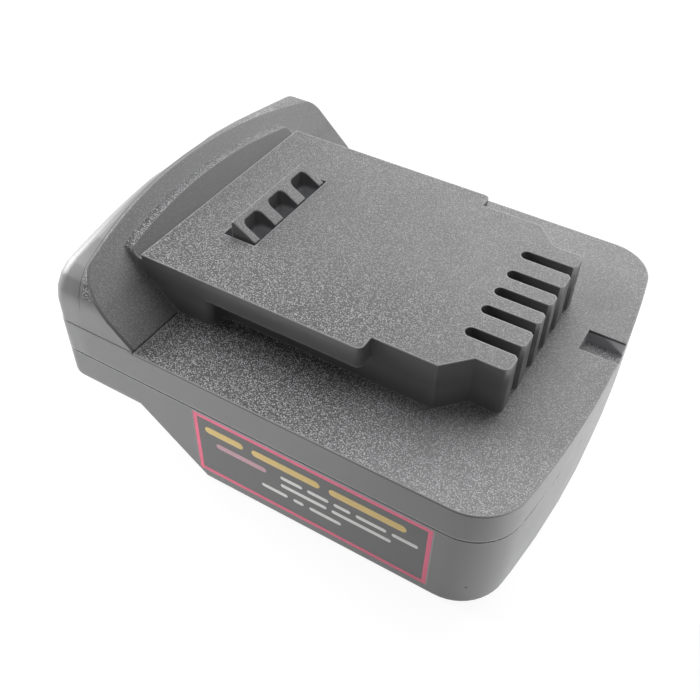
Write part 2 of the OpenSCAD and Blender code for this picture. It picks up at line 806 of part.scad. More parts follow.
module latch() {
  z_wedge_front = z_wedge_top - (x_wedge_front - x_wedge_rear) * tan(wedge_angle);
  tip = 0.4;
  window_corner = 1.2;
  window_floor = 1;
  color("dimgray") difference() {
    union() {
      across(wedge_width) polygon([[x_wedge_rear, z_plate_low], [x_wedge_front, z_plate_low],
        [x_wedge_front, z_wedge_front], [x_wedge_rear + tip, z_wedge_top - tip * tan(wedge_angle)],
        [x_wedge_rear, z_wedge_top - tip]]);
      block([x_plate_rear, -plate_width / 2, z_plate_low], [x_plate_front, plate_width / 2, z_plate_top]);
      block([x_arm_end, -arm_width / 2, z_plate_low], [x_plate_front, arm_width / 2, z_plate_top]);
      both_sides() translate([x_spring, spring_offset, z_plate_low - peg_height])
        cylinder(d = peg_diameter, h = peg_height + plate_thickness / 2);
    }
    for (i = [-1 : 1]) translate([0, i * window_pitch, z_plate_low + window_floor])
      linear_extrude(z_wedge_top - z_plate_low + over)
        rounded_rect([x_wedge_front - window_length, -window_width / 2],
                     [x_wedge_front + window_length, window_width / 2], window_corner);
  }
}

module release_button() {
  x_face = -half_l + mould_step + rib_height + fit_gap;
  edge = 0.9;
  rib_pitch = (z_button_top - z_button_low) / (grip_ribs + 1);
  color("dimgray") difference() {
    union() {
      across(button_width) rounded_rect([x_face, z_button_low], [x_channel - clearance, z_button_top], edge);
      for (i = [1 : grip_ribs]) translate([x_face, 0, z_button_low + i * rib_pitch])
        rotate([90, 0, 0]) cylinder(r = rib_height, h = button_width - 4 * edge, center = true);
    }
    block([x_arm_end, -arm_width / 2 - fit_gap, z_plate_low - fit_gap],
          [x_channel, arm_width / 2 + fit_gap, z_plate_top + fit_gap]);
  }
}

// A compression spring between a post and the latch plate
module latch_spring(side) {
  rings = 8 * spring_turns;
  radius = (spring_diameter - spring_wire) / 2;
  rise = spring_length - spring_wire - 2 * fit_gap;
  route = [for (i = [0 : rings]) let (a = 360 * spring_turns * i / rings)
    [x_spring + radius * cos(a), side * spring_offset + radius * sin(a),
     z_spring_seat + fit_gap + spring_wire / 2 + rise * i / rings]];
  color("silver") tube(route, spring_wire, 6, [0, 0, 1]);
}
module latch_spring_left() { latch_spring(1); }
module latch_spring_right() { latch_spring(-1); }

// Contact board and tool contacts

module contact_board() {
  color("seagreen") difference() {
    block([x_board_rear, -board_width / 2, z_board_low], [x_board_front, board_width / 2, z_board_top]);
    both_sides() translate([board_screw_x, board_screw_y, z_board_low - over])
      cylinder(d = small_screw + 2 * shank_gap, h = board_thickness + 2 * over);
  }
}

// A spring clip that grips a blade pushed in from the contact end
module tool_contact(place) {
  length = chamber_length - 4 * clearance;
  outer = chamber_width / 2 - clearance;
  pinch = strip_thickness + 0.35;
  mouth = outer - 0.2;
  pinch_x = 0.68 * length;
  web = strip_thickness;
  heel = web + 1;
  leaf = [[0, outer], [heel, outer], [pinch_x, pinch], [length, mouth], [length, mouth - web],
          [pinch_x, pinch - web], [heel, outer - web], [web, outer - web]];
  color("goldenrod") translate([x_chamber_rear + 2 * clearance, slot_places[place - 1], z_board_top])
    linear_extrude(contact_height)
      polygon(concat([for (p = leaf) [p.x, -p.y]], [for (i = [len(leaf) - 1 : -1 : 0]) leaf[i]]));
}
module tool_contact_1() { tool_contact(1); }
module tool_contact_2() { tool_contact(2); }
module tool_contact_3() { tool_contact(3); }
module tool_contact_4() { tool_contact(4); }
module tool_contact_5() { tool_contact(5); }

module id_resistors() {
  chip = [1.6, 3.2, 0.6];
  color("black") both_sides()
    block([lead_pad_x, chip.y / 2, z_board_top], [lead_pad_x + chip.x, 3 * chip.y / 2, z_board_top + chip.z]);
}

// Terminal block, blades and leads

// Side view of a blade: a bar into the receiver, and a tail up through the block's neck
module blade_profile(grow = 0) {
  tip = 1;
  x_tip = x_block - blade_reach;
  polygon([[x_tip, z_blade_low + tip], [x_tip + tip, z_blade_low - grow],
           [x_tail_front + grow, z_blade_low - grow], [x_tail_front + grow, z_tail],
           [x_tail_rear - grow, z_tail], [x_tail_rear - grow, z_blade_top + grow],
           [x_tip + tip, z_blade_top + grow], [x_tip, z_blade_top - tip]]);
}

module blade(y, thickness) {
  color("goldenrod") translate([0, y, 0]) across(thickness) blade_profile();
}
module pack_blade_positive() { blade(-blade_offset, blade_thickness); }
module pack_blade_negative() { blade(blade_offset, blade_thickness); }
module pack_blade_signal() { blade(0, signal_thickness); }

module terminal_block() {
  color("darkslategray") difference() {
    union() {
      block([x_block, -block_half, z_block], [x_stop - fit_gap, block_half, shelf_height]);
      block([x_neck_rear + fit_gap, fit_gap - neck_half, shelf_height - over],
            [x_neck_front - fit_gap, neck_half - fit_gap, z_neck]);
    }
    for (y = [-blade_offset, blade_offset])
      translate([0, y, 0]) across(blade_thickness + 2 * fit_gap) blade_profile(fit_gap);
    across(signal_thickness + 2 * fit_gap) blade_profile(fit_gap);
    both_sides() translate([x_block_mid, block_screw_y, z_roof - small_screw_length - screw_end_gap])
      cylinder(d = small_screw + 2 * thread_gap, h = small_screw_length + screw_end_gap);
  }
}

// A lead from the tail of a blade, back along the roof and up to the contact board
module lead(y, diameter) {
  z_low = z_tail - diameter / 2;
  bend = z_board_low - z_low - lead_straight;
  steps = 4;
  route = concat([[x_tail_rear, y, z_low], [(x_tail_rear + lead_pad_x + bend) / 2, y, z_low]],
    [for (i = [0 : steps]) let (a = 90 * i / steps)
      [lead_pad_x + bend * (1 - sin(a)), y, z_low + bend * (1 - cos(a))]],
    [[lead_pad_x, y, z_board_low]]);
  tube(route, diameter, 8, [0, 1, 0]);
}
module positive_lead() { color("firebrick") lead(-blade_offset, power_lead); }
module negative_lead() { color("black") lead(blade_offset, power_lead); }
module signal_lead() { color("gold") lead(0, signal_lead_diameter); }

// Fasteners and label

module case_screws() {
  color("silver") for (spot = screw_spots) translate([spot.x, spot.y, seat(spot.x)])
    screw(case_screw, case_screw_length, case_head, case_head_height);
}

module board_screws() {
  color("silver") both_sides() translate([board_screw_x, board_screw_y, z_board_low])
    screw(small_screw, small_screw_length, small_head, small_head_height);
}

module block_screws() {
  color("silver") both_sides() translate([x_block_mid, block_screw_y, z_roof]) mirror([0, 0, 1])
    screw(small_screw, small_screw_length, small_head, small_head_height);
}

module rating_label() {
  color("palevioletred") block([x_label_rear + fit_gap, -half_w + fit_gap, z_label_low + fit_gap],
    [x_label_front - fit_gap, -half_w + fit_gap + label_thickness, z_label_top - fit_gap]);
}

upper_shell();
lower_shell();
latch();
release_button();
latch_spring_left();
latch_spring_right();
contact_board();
tool_contact_1();
tool_contact_2();
tool_contact_3();
tool_contact_4();
tool_contact_5();
id_resistors();
terminal_block();
pack_blade_positive();
pack_blade_negative();
pack_blade_signal();
positive_lead();
negative_lead();
signal_lead();
case_screws();
board_screws();
block_screws();
rating_label();
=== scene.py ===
"""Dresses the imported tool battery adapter: finishes, springs, label print, light and camera."""
import math
from functools import partial, reduce

import bmesh
import bpy
from mathutils import Matrix, Vector


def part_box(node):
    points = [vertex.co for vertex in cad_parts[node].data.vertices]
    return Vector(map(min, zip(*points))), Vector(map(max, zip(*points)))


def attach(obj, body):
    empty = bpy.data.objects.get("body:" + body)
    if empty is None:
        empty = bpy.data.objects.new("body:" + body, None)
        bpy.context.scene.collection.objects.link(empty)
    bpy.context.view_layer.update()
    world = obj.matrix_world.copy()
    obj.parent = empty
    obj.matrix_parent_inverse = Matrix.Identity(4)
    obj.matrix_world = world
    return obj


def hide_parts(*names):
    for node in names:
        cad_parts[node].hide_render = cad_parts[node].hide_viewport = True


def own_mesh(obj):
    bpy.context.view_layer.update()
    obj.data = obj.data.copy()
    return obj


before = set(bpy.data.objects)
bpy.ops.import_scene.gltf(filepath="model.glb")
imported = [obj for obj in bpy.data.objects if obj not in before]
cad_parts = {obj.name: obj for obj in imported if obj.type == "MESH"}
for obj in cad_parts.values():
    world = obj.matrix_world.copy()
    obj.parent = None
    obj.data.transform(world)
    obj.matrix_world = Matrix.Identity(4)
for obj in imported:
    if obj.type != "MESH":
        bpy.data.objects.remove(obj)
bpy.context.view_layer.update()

MM = 0.001
HOUSING = "housing"

# Colours as they are meant to render, in linear light
SHELL = (0.161, 0.161, 0.165)
LATCH = (0.152, 0.152, 0.156)
BUTTON = (0.085, 0.085, 0.089)
BLOCK = (0.055, 0.055, 0.060)
CHIP = (0.03, 0.03, 0.03)
STEEL = (0.56, 0.56, 0.57)
TIN = (0.72, 0.66, 0.50)
LEADS = {"positive_lead": (0.45, 0.02, 0.02), "negative_lead": (0.02, 0.02, 0.02),
         "signal_lead": (0.70, 0.48, 0.04)}
SOLDER_MASK = ((0.020, 0.130, 0.050, 1.0), (0.028, 0.165, 0.066, 1.0))
BOARD_TRACK = (0.060, 0.260, 0.110, 1.0)
LABEL_FIELD = (0.120, 0.119, 0.121)
LABEL_PINK = (0.860, 0.150, 0.260)
INK_YELLOW = (0.760, 0.560, 0.200)
INK_WHITE = (0.780, 0.780, 0.760)
INK_ROSE = (0.560, 0.330, 0.380)
WHITE = (1.0, 1.0, 1.0, 1.0)

# Moulded plastic: the rounding of its edges in the shading, how deep the painted edge highlight reaches,
# the grain's cells in a metre, tints of the plastic's colour, and its gloss
EDGE_ROUNDING = 0.30 * MM
EDGE_HIGHLIGHT_DEPTH = 0.35 * MM
EDGE_SAMPLES = 6
GRAIN_PER_METRE = 4200.0
# The grain's pale specks are partly real grain and partly painted glints
GRAIN_TINTS = (0.15, 4.9)
# The paler tint of the painted highlight on outer edges
EDGE_HIGHLIGHT_TINT = 2.3
# The dark tint of lines: painted shade along the deck's edge and round the slope's near end, a dark line
# along the crest, and a pin mark
LINE_TINT = 0.16
# The tint of the painted light inside the latch's windows
WINDOW_PAINTED_LIGHT = 4.2
PLASTIC_ROUGHNESS = (0.40, 0.46)
GRAIN_ROUGHNESS = 0.18
RIPPLE_HEIGHT = 0.05

# Where marks lie: the deck's height, the foot and the near end of the rear slope, the dark line along the
# crest and its bend, the ledge between slope and rail, the guide notch, and a pin mark
DECK_Z = 26.5 * MM
FOOT_X = -27.3 * MM
END_TURN = 7.5 * MM
END_Y = 30.9 * MM
END_Z = 30.7 * MM
CREST_LINE_X = -43.9 * MM
CREST_BEND = 3.6
LEDGE_BACK = -42.9 * MM
LEDGE_FRONT = -35.2 * MM
LEDGE_END = 27 * MM
SLOPE_NORMAL = (0.68, 0.73)
NOTCH_BACK = 39.4 * MM
NOTCH_Y = 7.95 * MM
NOTCH_HALF = 2.95 * MM
PIN_MARK = (39.94 * MM, -37.28 * MM, 5.72 * MM)

# How much of the grain and its painted glints is left on the far side, at the front and on the slope, and
# painted light and shade as changes of tone
FAR_GRAIN = 0.48
FRONT_GRAIN = 0.45
SLOPE_GRAIN = 0.3
# Painted light and shade, as gains on the shell's colour
DECK_FRONT_PAINTED_LIGHT = 0.38
DECK_REAR_PAINTED_LIGHT = 0.22
RAIL_PAINTED_SHADE = -0.22
NOTCH_PAINTED_LIGHT = 1.7
REAR_SKIN_PAINTED_LIGHT = 0.28
# A painted highlight on the ledge's top and painted shade on its face
LEDGE_TOP_PAINTED_HIGHLIGHT = 0.45
LEDGE_FACE_PAINTED_SHADE = -0.62

SPRING_WIRE = 0.7 * MM
SPRING_TURNS = 6

# Bars of ink by piece: colour, then each row's start, drop, height, lengths of bars and gap, in mm
INK_DEPTH = 0.02 * MM
LABEL_BORDER = 0.85 * MM
LABEL_ROWS = {
    "label_title": (INK_YELLOW, [(2.4, 2.7, 1.7, (8.4, 14.2, 15.0), 1.8)]),
    "label_notice": (INK_ROSE, [(4.6, 6.3, 1.3, (11.0,), 1.0)]),
    "label_lines": (INK_WHITE, [(18.6, 6.2, 0.9, (4.6, 4.4, 3.4, 6.0, 5.0), 1.0),
                                (18.6, 8.4, 0.9, (9.6, 11.8), 1.0),
                                (14.4, 11.0, 0.9, (5.6, 2.2, 6.6), 1.2)]),
}

# The floor as light falls on it, and as it is seen: a share of shadow over an even glow
FLOOR_HALF = 6.0
FLOOR_DROP = 0.02 * MM
FLOOR_PAPER = (0.90, 0.90, 0.90, 1.0)
FLOOR_SHADOW = (0.16, 0.16, 0.16, 1.0)
FLOOR_GLOW = 0.91
AMBIENT = 0.03

# Soft boxes: place, target, width and height in metres, and watts. The two strips stand for light off
# the white floor.
MIDDLE = (0.0, 0.0, 0.02)
SOFT_BOXES = {
    "top_light": ((0.05, 0.30, 0.72), MIDDLE, (0.60, 0.60), 2.30),
    "back_light": ((0.02, 0.50, 0.32), MIDDLE, (0.60, 0.30), 1.85),
    "rear_light": ((-0.45, -0.01, 0.20), MIDDLE, (0.26, 0.25), 3.3),
    "near_strip": ((-0.050, -0.068, 0.0045), (-0.046, 0.0, 0.0045), (0.13, 0.007), 0.0105),
    "front_strip": ((0.076, -0.005, 0.0045), (0.0, -0.005, 0.0045), (0.09, 0.007), 0.020),
}


# Node trees


def new_material(name):
    """A node material, its principled shader and its object coordinates."""
    material = bpy.data.materials.new(name)
    material.use_nodes = True
    coords = add(material, "TexCoord").outputs["Object"]
    return material, material.node_tree.nodes["Principled BSDF"], coords


def plug(material, socket, value):
    """Sets a socket, or links it when the value is another node's output."""
    if isinstance(value, bpy.types.NodeSocket):
        material.node_tree.links.new(value, socket)
    else:
        socket.default_value = value


def fill(material, node, **sockets):
    """Sets or links input sockets by name, with _ for a space."""
    for key, value in sockets.items():
        plug(material, node.inputs[key.replace("_", " ")], value)


def add(material, kind, settings=None, **sockets):
    """A node with its settings and its input sockets set or linked."""
    node = material.node_tree.nodes.new("ShaderNode" + kind)
    for key, value in (settings or {}).items():
        setattr(node, key, value)
    fill(material, node, **sockets)
    return node


def math_node(material, operation, first, second=0.0):
    node = add(material, "Math", {"operation": operation})
    plug(material, node.inputs[0], first)
    plug(material, node.inputs[1], second)
    return node.outputs[0]


def times(material, *values):
    return reduce(partial(math_node, material, "MULTIPLY"), values)


def plus(material, *values):
    return reduce(partial(math_node, material, "ADD"), values)


def largest(material, *values):
    return reduce(partial(math_node, material, "MAXIMUM"), values)


def spread(material, value, low, high, to_low=0.0, to_high=1.0):
    """The value with the range low to high mapped smoothly to another range."""
    return add(material, "MapRange", {"interpolation_type": "SMOOTHSTEP"}, Value=value,
               From_Min=low, From_Max=high, To_Min=to_low, To_Max=to_high).outputs["Result"]


def fall(material, value, low, high, top=1.0):
    """A mask that goes smoothly from top down to 0 between low and high."""
    return spread(material, value, low, high, top, 0.0)


def band(material, value, centre, half, fade):
    """A mask that is 1 where a length lies within half of centre, and 0 past half plus fade."""
    distance = math_node(material, "ABSOLUTE", math_node(material, "SUBTRACT", value, centre))
    return fall(material, distance, half, half + fade)


def split(material, vector):
    """A vector's X, Y and Z."""
    return add(material, "SeparateXYZ", Vector=vector).outputs


def facing(material):
    """The X, Y and Z of the surface's normal."""
    return split(material, add(material, "NewGeometry").outputs["Normal"])


def noise(material, coords, scale, detail=2.0):
    return add(material, "TexNoise", Vector=coords, Scale=scale, Detail=detail).outputs["Fac"]


def bump(material, height, strength, distance, **normal):
    return add(material, "Bump", Height=height, Strength=strength, Distance=distance,
               **normal).outputs["Normal"]


def blend_colour(material, factor, first, second):
    """A colour between two others."""
    node = add(material, "Mix", {"data_type": "RGBA"}, Factor=factor)
    plug(material, node.inputs[6], first)
    plug(material, node.inputs[7], second)
    return node.outputs[2]


def tint(colour, gain):
    return tuple(min(1.0, c * gain) for c in colour) + (1.0,)


def mottle(material, factor, colour, low, high):
    """The colour, tinted from low to high by a factor."""
    return blend_colour(material, factor, tint(colour, low), tint(colour, high))


def seen_rays(material):
    """1 for rays from the camera and their mirrored or transmitted ones, 0 for scattered light."""
    path = add(material, "LightPath").outputs
    return largest(material, path["Is Camera Ray"], path["Is Glossy Ray"], path["Is Transmission Ray"])


# Materials


def moulded_plastic(name, colour, grain, marks=None, line_tint=LINE_TINT):
    """Satin plastic with grain on upward faces, whose pale specks are partly painted glints, and a painted
    highlight on its outer edges.

    The masks that marks returns scale the grain and the tone, which holds painted light and shade, and
    draw lines in a tint of their own.
    """
    material, shader, coords = new_material(name)
    masks = marks(material, coords) if marks else {}
    grained = times(material, spread(material, facing(material)["Z"], 0.35, 0.6), grain)
    if "grain" in masks:
        grained = times(material, grained, masks["grain"])
    cells = add(material, "TexVoronoi", Vector=coords, Scale=GRAIN_PER_METRE).outputs
    chance = add(material, "SeparateColor", Color=cells["Color"]).outputs[0]
    peak = fall(material, cells["Distance"], 0.25, 0.62)
    # Pale grain specks: partly real grain, partly painted glints
    grain_specks_and_glints = mottle(material, times(material, peak, chance), colour, *GRAIN_TINTS)
    clouds = noise(material, coords, scale=90.0)
    body = blend_colour(material, grained, mottle(material, clouds, colour, 0.95, 1.05), grain_specks_and_glints)
    # The tone is painted light and shade
    if "tone" in masks:
        scaled = add(material, "VectorMath", {"operation": "SCALE"}, Vector=body, Scale=masks["tone"])
        body = scaled.outputs["Vector"]
    # Outer edges are paler: a painted highlight
    body = blend_colour(material, painted_edge_highlight(material), body, tint(colour, EDGE_HIGHLIGHT_TINT))
    # Lines in a tint of their own: painted shade, painted light inside the latch's windows, and a pin mark
    if "line" in masks:
        body = blend_colour(material, masks["line"], body, tint(colour, line_tint))
    rough = spread(material, clouds, 0.3, 0.7, *PLASTIC_ROUGHNESS)
    ripple = times(material, noise(material, coords, scale=450.0), RIPPLE_HEIGHT)
    height = plus(material, times(material, peak, grained), ripple)
    rounded = add(material, "Bevel", {"samples": EDGE_SAMPLES}, Radius=EDGE_ROUNDING).outputs["Normal"]
    fill(material, shader, Base_Color=body, IOR=1.54, Specular_IOR_Level=0.7,
         Roughness=plus(material, rough, times(material, grained, GRAIN_ROUGHNESS)),
         Normal=bump(material, height, 0.6, 0.06 * MM, Normal=rounded))
    return material


def painted_edge_highlight(material):
    """A mask of the outer edges, found from inside the solid, where a highlight is painted."""
    depth = add(material, "AmbientOcclusion",
                {"inside": True, "only_local": True, "samples": EDGE_SAMPLES}, Distance=EDGE_HIGHLIGHT_DEPTH)
    return fall(material, depth.outputs["AO"], 0.62, 0.92)


def shell_marks(material, coords):
    """Dark lines on the upper shell, which are a mould line darkened with painted shade, painted shade
    round the slope's end and a dark line along the crest; its smooth skin; and its changes of grain and of
    tone, which are painted light and shade.
    """
    place = split(material, coords)
    normal = facing(material)
    sloping = spread(material, normal["X"], 0.3, 0.5)
    near = math_node(material, "MINIMUM", place["Y"], 0.0)
    along = math_node(material, "SUBTRACT", place["X"], times(material, near, near, CREST_BEND))
    skin = spread(material, along, CREST_LINE_X - 0.1 * MM, CREST_LINE_X + 1.2 * MM)
    smooth = spread(material, sloping, 0.0, 1.0, 1.0, SLOPE_GRAIN)
    # A dark line along the crest and its bend
    crest = times(material, band(material, along, CREST_LINE_X, 0.04 * MM, 0.10 * MM),
                  spread(material, place["Z"], DECK_Z + 4 * MM, DECK_Z + 6 * MM))
    return {
        "grain": times(material, skin, smooth, grain_and_glint_fade(material, place)),
        "tone": times(material, ledge_painted_light_and_shade(material, place, sloping), shell_painted_light_and_shade(material, place, along)),
        "line": largest(material, deck_line_and_shade(material, place, normal), crest,
                        slope_end_painted_shade(material, place, normal)),
    }


def deck_line_and_shade(material, place, normal):
    """The mould line under the deck's edge, darkened with painted shade, fainter behind the slope's foot.
    """
    return times(material, band(material, place["Z"], DECK_Z - 0.32 * MM, 0.13 * MM, 0.13 * MM),
                 fall(material, normal["Z"], 0.2, 0.6),
                 spread(material, place["X"], FOOT_X - 2 * MM, FOOT_X, 0.25, 1.0))


def slope_end_painted_shade(material, place, normal):
    """Painted shade in a line round the slope's near end, fainter toward the crest."""
    rise = largest(material, math_node(material, "SUBTRACT", place["Z"], END_Z), 0.0)
    left = math_node(material, "SUBTRACT", END_TURN ** 2, times(material, rise, rise))
    reach = math_node(material, "SQRT", largest(material, left, 0.0))
    inside = plus(material, reach, END_Y, place["Y"])
    return times(material, band(material, inside, 0.32 * MM, 0.26 * MM, 0.22 * MM),
                 spread(material, normal["X"], 0.40, 0.60),
                 spread(material, place["Z"], DECK_Z + 6 * MM, DECK_Z + 11 * MM, 1.0, 0.35))


def grain_and_glint_fade(material, place):
    """Grain, whose pale specks are partly painted glints, stands out most along the near side and toward
    the rear.
    """
    across = spread(material, place["Y"], -30 * MM, 2 * MM, 1.0, FAR_GRAIN)
    along = spread(material, place["X"], -4 * MM, 32 * MM, 1.0, FRONT_GRAIN)
    return math_node(material, "MINIMUM", across, along)


def shell_painted_light_and_shade(material, place, along):
    """Painted light that pales the deck toward its ends, the guide notch and the rear skin, and painted
    shade that darkens the rail.
    """
    corner = math_node(material, "SUBTRACT", place["X"], times(material, place["Y"], 0.8))
    ends = plus(material, spread(material, corner, 22 * MM, 60 * MM, 0.0, DECK_FRONT_PAINTED_LIGHT),
                fall(material, place["X"], -22 * MM, -6 * MM, DECK_REAR_PAINTED_LIGHT))
    deck = times(material, ends, band(material, place["Z"], DECK_Z, 0.08 * MM, 0.1 * MM))
    rail = times(material, spread(material, place["X"], LEDGE_FRONT, LEDGE_FRONT + 2 * MM),
                 spread(material, place["Z"], DECK_Z + 4 * MM, DECK_Z + 6 * MM, 0.0, RAIL_PAINTED_SHADE))
    notch = times(material, band(material, place["Y"], NOTCH_Y, NOTCH_HALF, 0.1 * MM),
                  band(material, place["Z"], DECK_Z - 1.75 * MM, 1.3 * MM, 0.2 * MM),
                  spread(material, place["X"], NOTCH_BACK, NOTCH_BACK + 0.2 * MM, 0.0, NOTCH_PAINTED_LIGHT))
    rear = fall(material, along, CREST_LINE_X - 2.5 * MM, CREST_LINE_X + 0.3 * MM, REAR_SKIN_PAINTED_LIGHT)
    return plus(material, deck, notch, rail, rear, 1.0)


def ledge_painted_light_and_shade(material, place, sloping):
    """A painted highlight that pales the top of the ledge between slope and rail, and painted shade that
    darkens the face below it.
    """
    across = math_node(material, "ABSOLUTE", place["Y"])
    ledge = times(material, spread(material, place["X"], LEDGE_BACK, LEDGE_BACK + 0.3 * MM),
                  fall(material, place["X"], LEDGE_FRONT - 0.3 * MM, LEDGE_FRONT),
                  fall(material, across, LEDGE_END, LEDGE_END + 1 * MM))
    ahead = plus(material, times(material, place["X"], SLOPE_NORMAL[0]),
                 times(material, place["Z"], SLOPE_NORMAL[1]))
    top = fall(material, sloping, 0.0, 1.0, LEDGE_TOP_PAINTED_HIGHLIGHT)
    face = times(material, sloping, spread(material, ahead, 1.2 * MM, 1.6 * MM), LEDGE_FACE_PAINTED_SHADE)
    return plus(material, times(material, plus(material, top, face), ledge), 1.0)


def base_marks(material, coords):
    """A pin mark near the contact end's corner."""
    away = add(material, "VectorMath", {"operation": "DISTANCE"})
    plug(material, away.inputs[0], coords)
    plug(material, away.inputs[1], PIN_MARK)
    return {"line": fall(material, away.outputs["Value"], 0.22 * MM, 0.40 * MM)}


def latch_window_painted_light(material, coords):
    """Painted light that pales the inside of the latch's windows below a height."""
    height = split(material, coords)["Z"]
    return {"line": fall(material, height, DECK_Z + 8.6 * MM, DECK_Z + 9.8 * MM)}


def metal(name, colour, rough, brushed):
    """Plated or drawn metal with fine brushing and uneven gloss."""
    material, shader, coords = new_material(name)
    streaks = add(material, "Mapping", Vector=coords, Scale=(400.0, 400.0, 5200.0)).outputs["Vector"]
    brush = noise(material, streaks, scale=1.0, detail=3.0)
    patches = noise(material, coords, scale=260.0, detail=3.0)
    fill(material, shader, Metallic=1.0, Base_Color=mottle(material, patches, colour, 0.86, 1.08),
         Roughness=spread(material, patches, 0.25, 0.75, rough, rough + 0.12),
         Normal=bump(material, brush, brushed, 0.02 * MM))
    return material


def board_laminate():
    """Green solder mask over woven glass, with copper tracks showing through as paler green."""
    material, shader, coords = new_material("board_laminate")
    waves = add(material, "TexWave", {"bands_direction": "X"}, Vector=coords, Scale=180.0, Distortion=1.2)
    tracks = spread(material, waves.outputs["Fac"], 0.62, 0.68)
    cloth = noise(material, coords, scale=1500.0, detail=1.0)
    mask = blend_colour(material, cloth, *SOLDER_MASK)
    fill(material, shader, Base_Color=blend_colour(material, tracks, mask, BOARD_TRACK), Roughness=0.28,
         Normal=bump(material, tracks, 0.3, 0.03 * MM))
    return material


def film(name, colour):
    """Printed film or ink: even colour with a faint orange-peel gloss."""
    material, shader, coords = new_material(name)
    fibres = noise(material, coords, scale=700.0, detail=3.0)
    fill(material, shader, Base_Color=mottle(material, fibres, colour, 0.93, 1.07),
         Roughness=spread(material, fibres, 0.3, 0.7, 0.32, 0.40),
         Normal=bump(material, fibres, 0.15, 0.02 * MM))
    return material


def insulation(name, colour):
    """Soft wire insulation with a dull gloss."""
    material, shader, coords = new_material(name)
    bloom = noise(material, coords, scale=420.0)
    fill(material, shader, Base_Color=mottle(material, bloom, colour, 0.85, 1.1),
         Roughness=spread(material, bloom, 0.3, 0.7, 0.36, 0.5))
    return material


# CAD nodes: fine edges and finishes


def finish_node(node, material, edge=0.0, facet_angle=1.0):
    """Gives a CAD node its material, smooth shading and edges broken by a small radius."""
    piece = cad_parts[node]
    piece.data.materials.clear()
    piece.data.materials.append(material)
    piece.data.polygons.foreach_set("use_smooth", [True] * len(piece.data.polygons))
    weld = piece.modifiers.new("weld", "WELD")
    weld.merge_threshold = 0.002 * MM
    flats = piece.modifiers.new("flats", "DECIMATE")
    flats.decimate_type = "DISSOLVE"
    flats.angle_limit = math.radians(facet_angle)
    if edge:
        bevel = piece.modifiers.new("edges", "BEVEL")
        bevel.width = edge
        bevel.segments = 3
        bevel.limit_method = "ANGLE"
        bevel.angle_limit = math.radians(32)
        bevel.harden_normals = True
        bevel.use_clamp_overlap = True
    normals = piece.modifiers.new("normals", "WEIGHTED_NORMAL")
    normals.keep_sharp = True


def dress_nodes(steel):
    """Every CAD node's finish, with the radius of its edges."""
    tin = metal("tinned_bronze", TIN, rough=0.24, brushed=0.15)
    finish_node("upper_shell", moulded_plastic("shell_plastic", SHELL, 1.0, shell_marks), 0.22 * MM)
    finish_node("lower_shell", moulded_plastic("base_plastic", SHELL, 0.17, base_marks), 0.22 * MM)
    # The latch's windows get painted light inside them
    latch_plastic = moulded_plastic("latch_plastic", LATCH, 0.35, latch_window_painted_light, WINDOW_PAINTED_LIGHT)
    finish_node("latch", latch_plastic, 0.18 * MM)
    finish_node("release_button", moulded_plastic("button_plastic", BUTTON, 0.35), 0.2 * MM)
    finish_node("terminal_block", moulded_plastic("block_plastic", BLOCK, 0.2), 0.25 * MM)
    finish_node("contact_board", board_laminate(), 0.08 * MM)
    finish_node("id_resistors", film("chip_body", CHIP), 0.08 * MM)
    finish_node("rating_label", film("label_field", LABEL_FIELD))
    for number in range(1, 6):
        finish_node(f"tool_contact_{number}", tin, 0.08 * MM)
    for pole in ("positive", "negative", "signal"):
        finish_node("pack_blade_" + pole, tin, 0.15 * MM)
    for node in ("case_screws", "board_screws", "block_screws"):
        finish_node(node, steel, 0.12 * MM)
    for node, colour in LEADS.items():
        finish_node(node, insulation(node + "_skin", colour), facet_angle=0.2)


# New pieces


def mesh_object(name, mesh_builder, material, smooth):
    """A mesh object made by a bmesh function."""
    bm = bmesh.new()
    mesh_builder(bm)
    bmesh.ops.recalc_face_normals(bm, faces=bm.faces)
    mesh = bpy.data.meshes.new(name)
    bm.to_mesh(mesh)
    bm.free()
    mesh.polygons.foreach_set("use_smooth", [smooth] * len(mesh.polygons))
    mesh.materials.append(material)
    piece = bpy.data.objects.new(name, mesh)
    bpy.context.scene.collection.objects.link(piece)
    return piece


def mesh_piece(name, mesh_builder, material, body, smooth=True):
    """A mesh object that rides on a body."""
    piece = mesh_object(name, mesh_builder, material, smooth)
    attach(piece, body)
    return piece


def coil(bm, centre, low, high, radius, wire, turns):
    """A closed-end compression spring: the first and last turns lie flat."""
    around = 48
    sides = 12
    flat_turns = 0.75
    eased = 0.25
    lift = high - low - wire
    section = [(wire / 2 * math.cos(math.tau * k / sides), wire / 2 * math.sin(math.tau * k / sides))
               for k in range(sides)]
    rings = []
    for i in range(round(turns * around) + 1):
        turn = i / around
        climb = min(max((turn - flat_turns) / (turns - 2 * flat_turns), 0.0), 1.0)
        climb = climb * climb * (3 - 2 * climb) * eased + climb * (1 - eased)
        out = Vector((math.cos(math.tau * turn), math.sin(math.tau * turn), 0.0))
        middle = centre + out * radius + Vector((0, 0, low + wire / 2 + lift * climb))
        rings.append([bm.verts.new(middle + out * u + Vector((0, 0, v))) for u, v in section])
    for a, b in zip(rings, rings[1:]):
        for k in range(sides):
            bm.faces.new((a[k], a[(k + 1) % sides], b[(k + 1) % sides], b[k]))
    bm.faces.new(rings[0])
    bm.faces.new(reversed(rings[-1]))


def springs(steel):
    """Round-wire springs that take the place of the CAD springs."""
    for side in ("left", "right"):
        low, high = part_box("latch_spring_" + side)
        centre = Vector(((low.x + high.x) / 2, (low.y + high.y) / 2, 0.0))
        builder = partial(coil, centre=centre, low=low.z, high=high.z, wire=SPRING_WIRE,
                          radius=(high.x - low.x - SPRING_WIRE) / 2, turns=SPRING_TURNS)
        piece = mesh_piece("coil_" + side, builder, steel, HOUSING)
        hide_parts("latch_spring_" + side)
        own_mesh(piece)


